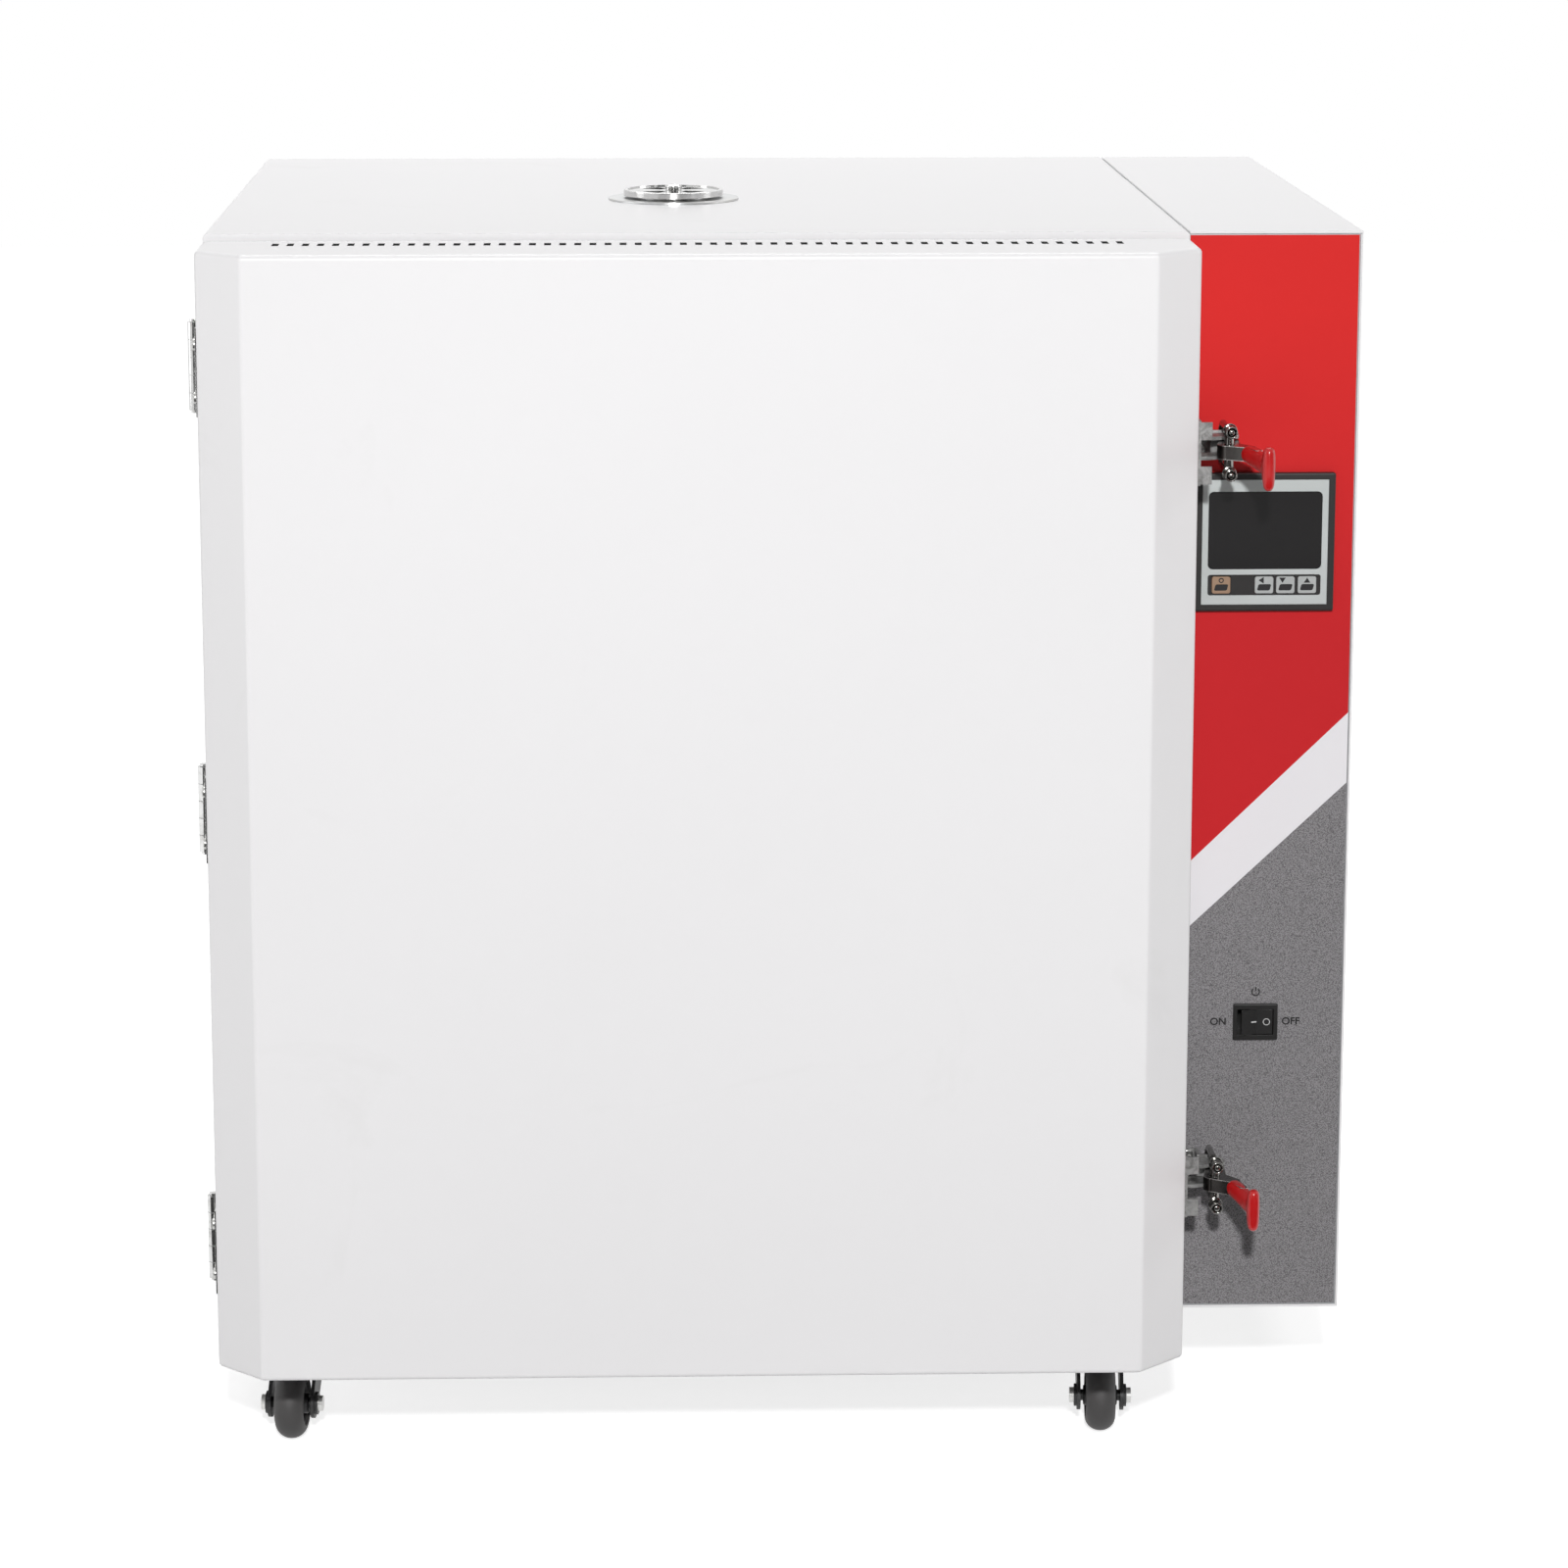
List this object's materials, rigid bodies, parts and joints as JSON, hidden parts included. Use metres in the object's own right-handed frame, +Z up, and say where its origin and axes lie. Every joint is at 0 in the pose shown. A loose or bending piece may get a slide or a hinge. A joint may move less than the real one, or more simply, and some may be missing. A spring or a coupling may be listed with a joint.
{
  "type": "forced-air drying oven",
  "caption": "Upright laboratory drying oven: insulated chamber with shelves, side-hinged door with toggle clamps, control column at the right, roof vent and swivel castors.",
  "frame": {"origin": "on the floor, below the middle of the oven's width and depth", "axes": "+Z up, -Y towards the person at the door, +X to that person's right, where the control column is"},
  "size_m": [0.7994, 0.728, 0.8647],
  "materials": {
    "case_paint": "light grey powder coat, satin",
    "galvanised_sheet": "plain zinc-coated sheet",
    "stainless_sheet": "fine satin stainless sheet",
    "bright_stainless": "polished stainless",
    "wire_chrome": "electropolished wire",
    "fixings": "zinc-plated steel",
    "panel_film": "printed film in red, white and grey",
    "dark_plastic": "black moulded plastic",
    "faceplate_metal": "brushed aluminium",
    "display_black": "dark tinted window",
    "switch_black": "black plastic",
    "key_light": "light grey keycap",
    "key_bronze": "bronze keycap",
    "grip_red": "red dipped vinyl",
    "silicone": "soft silicone profile",
    "wool": "mineral wool slab",
    "castor_black": "black coated steel",
    "wheel_black": "black moulded wheel",
    "motor_enamel": "dark enamel",
    "relay_finish": "anodised heat sink",
    "terminal_plastic": "cream moulding",
    "gland_nylon": "black nylon"
  },
  "bodies": {
    "cabinet": {"cabinet_hinge_leaves": "bright_stainless", "cabinet_screws": "fixings", "cable_gland": "gland_nylon", "castor_bolts": "fixings", "castor_plates": "castor_black", "chamber_liner": "stainless_sheet", "clamp_catches": "bright_stainless", "column_case": "case_paint", "column_front_panel": "galvanised_sheet", "column_side_cover": "case_paint", "controller_bezel": "dark_plastic", "controller_faceplate": "faceplate_metal", "controller_housing": "dark_plastic", "cover_screws": "fixings", "display_window": "display_black", "duct_panel": "stainless_sheet", "fan_motor": "motor_enamel", "heater_elements": "stainless_sheet", "hinge_pins": "bright_stainless", "insulation": "wool", "outer_case": "case_paint", "panel_overlay": "panel_film", "rear_panel": "galvanised_sheet", "rocker_frame": "switch_black", "shelf_runners": "stainless_sheet", "solid_state_relay": "relay_finish", "temperature_probe": "stainless_sheet", "terminal_block": "terminal_plastic", "vent_pipe": "bright_stainless", "vent_screw": "bright_stainless"},
    "door": {"door_shell": "case_paint", "door_inner_liner": "stainless_sheet", "door_insulation": "wool", "door_gasket": "silicone", "door_hinge_leaves": "bright_stainless", "door_screws": "fixings", "clamp_bases": "bright_stainless"},
    "upper_clamp": {"upper_clamp_lever": "bright_stainless", "upper_clamp_grip": "grip_red"},
    "upper_hook": {"upper_clamp_hook": "bright_stainless"},
    "lower_clamp": {"lower_clamp_lever": "bright_stainless", "lower_clamp_grip": "grip_red"},
    "lower_hook": {"lower_clamp_hook": "bright_stainless"},
    "vent_cap": {"vent_disc": "bright_stainless"},
    "rocker": {"rocker_switch": "switch_black"},
    "set_key_cap": {"set_key": "key_bronze"},
    "left_key_cap": {"left_key": "key_light"},
    "down_key_cap": {"down_key": "key_light"},
    "up_key_cap": {"up_key": "key_light"},
    "fan": {"fan_impeller": "stainless_sheet"},
    "upper_rack": {"upper_shelf": "wire_chrome"},
    "lower_rack": {"lower_shelf": "wire_chrome"},
    "front_left_swivel": {"castor_fork_front_left": "castor_black"},
    "front_left_wheel": {"castor_wheel_front_left": "wheel_black"},
    "front_right_swivel": {"castor_fork_front_right": "castor_black"},
    "front_right_wheel": {"castor_wheel_front_right": "wheel_black"},
    "rear_left_swivel": {"castor_fork_rear_left": "castor_black"},
    "rear_left_wheel": {"castor_wheel_rear_left": "wheel_black"},
    "rear_right_swivel": {"castor_fork_rear_right": "castor_black"},
    "rear_right_wheel": {"castor_wheel_rear_right": "wheel_black"}
  },
  "joints": [
    {"name": "door_swing", "type": "hinge", "parent": "cabinet", "child": "door", "pos_m": [-0.39525, -0.261, 0.4585], "axis": [0, 0, 1], "range_deg": [-120, 0]},
    {"name": "upper_clamp_throw", "type": "hinge", "parent": "door", "child": "upper_clamp", "pos_m": [0.30525, -0.282, 0.711], "axis": [0, 0, 1], "range_deg": [-3, 80]},
    {"name": "upper_hook_turn", "type": "hinge", "parent": "upper_clamp", "child": "upper_hook", "pos_m": [0.30175, -0.308, 0.711], "axis": [0, 0, 1], "range_deg": [-128, 5]},
    {"name": "lower_clamp_throw", "type": "hinge", "parent": "door", "child": "lower_clamp", "pos_m": [0.30525, -0.282, 0.199], "axis": [0, 0, 1], "range_deg": [-3, 80]},
    {"name": "lower_hook_turn", "type": "hinge", "parent": "lower_clamp", "child": "lower_hook", "pos_m": [0.30175, -0.308, 0.199], "axis": [0, 0, 1], "range_deg": [-128, 5]},
    {"name": "vent_turn", "type": "hinge", "parent": "cabinet", "child": "vent_cap", "pos_m": [-0.06825, -0.01, 0.859], "axis": [0, 0, 1], "range_deg": [0, 45]},
    {"name": "rocker_tilt", "type": "hinge", "parent": "cabinet", "child": "rocker", "pos_m": [0.33455, -0.2515, 0.3], "axis": [0, 0, -1], "range_deg": [0, 16]},
    {"name": "set_key_press", "type": "slide", "parent": "cabinet", "child": "set_key_cap", "axis": [0, 1, 0], "range_m": [0, 0.0005], "stiffness_N_per_m": 300},
    {"name": "left_key_press", "type": "slide", "parent": "cabinet", "child": "left_key_cap", "axis": [0, 1, 0], "range_m": [0, 0.0005], "stiffness_N_per_m": 300},
    {"name": "down_key_press", "type": "slide", "parent": "cabinet", "child": "down_key_cap", "axis": [0, 1, 0], "range_m": [0, 0.0005], "stiffness_N_per_m": 300},
    {"name": "up_key_press", "type": "slide", "parent": "cabinet", "child": "up_key_cap", "axis": [0, 1, 0], "range_m": [0, 0.0005], "stiffness_N_per_m": 300},
    {"name": "fan_spin", "type": "hinge", "parent": "cabinet", "child": "fan", "pos_m": [0.19525, -0.003, 0.4645], "axis": [1, 0, 0], "continuous": true},
    {"name": "upper_shelf_slide", "type": "slide", "parent": "cabinet", "child": "upper_rack", "axis": [0, -1, 0], "range_m": [0, 0.04]},
    {"name": "lower_shelf_slide", "type": "slide", "parent": "cabinet", "child": "lower_rack", "axis": [0, -1, 0], "range_m": [0, 0.04]},
    {"name": "front_left_swivel_turn", "type": "hinge", "parent": "cabinet", "child": "front_left_swivel", "pos_m": [-0.34075, -0.224, 0.065], "axis": [0, 0, 1], "continuous": true},
    {"name": "front_left_wheel_roll", "type": "hinge", "parent": "front_left_swivel", "child": "front_left_wheel", "pos_m": [-0.34368, -0.25185, 0.025], "axis": [0.9945, -0.1045, 0], "continuous": true},
    {"name": "front_right_swivel_turn", "type": "hinge", "parent": "cabinet", "child": "front_right_swivel", "pos_m": [0.23125, -0.224, 0.065], "axis": [0, 0, 1], "continuous": true},
    {"name": "front_right_wheel_roll", "type": "hinge", "parent": "front_right_swivel", "child": "front_right_wheel", "pos_m": [0.22978, -0.25196, 0.025], "axis": [0.9986, -0.0523, 0], "continuous": true},
    {"name": "rear_left_swivel_turn", "type": "hinge", "parent": "cabinet", "child": "rear_left_swivel", "pos_m": [-0.34075, 0.284, 0.065], "axis": [0, 0, 1], "continuous": true},
    {"name": "rear_left_wheel_roll", "type": "hinge", "parent": "rear_left_swivel", "child": "rear_left_wheel", "pos_m": [-0.31317, 0.27914, 0.025], "axis": [0.1736, 0.9848, 0], "continuous": true},
    {"name": "rear_right_swivel_turn", "type": "hinge", "parent": "cabinet", "child": "rear_right_swivel", "pos_m": [0.23125, 0.284, 0.065], "axis": [0, 0, 1], "continuous": true},
    {"name": "rear_right_wheel_roll", "type": "hinge", "parent": "rear_right_swivel", "child": "rear_right_wheel", "pos_m": [0.20587, 0.27217, 0.025], "axis": [0.4226, -0.9063, 0], "continuous": true}
  ],
  "couplings": [
    {"joint": "upper_hook_turn", "follows": "upper_clamp_throw", "ratio": -1.6},
    {"joint": "lower_hook_turn", "follows": "lower_clamp_throw", "ratio": -1.6}
  ]
}
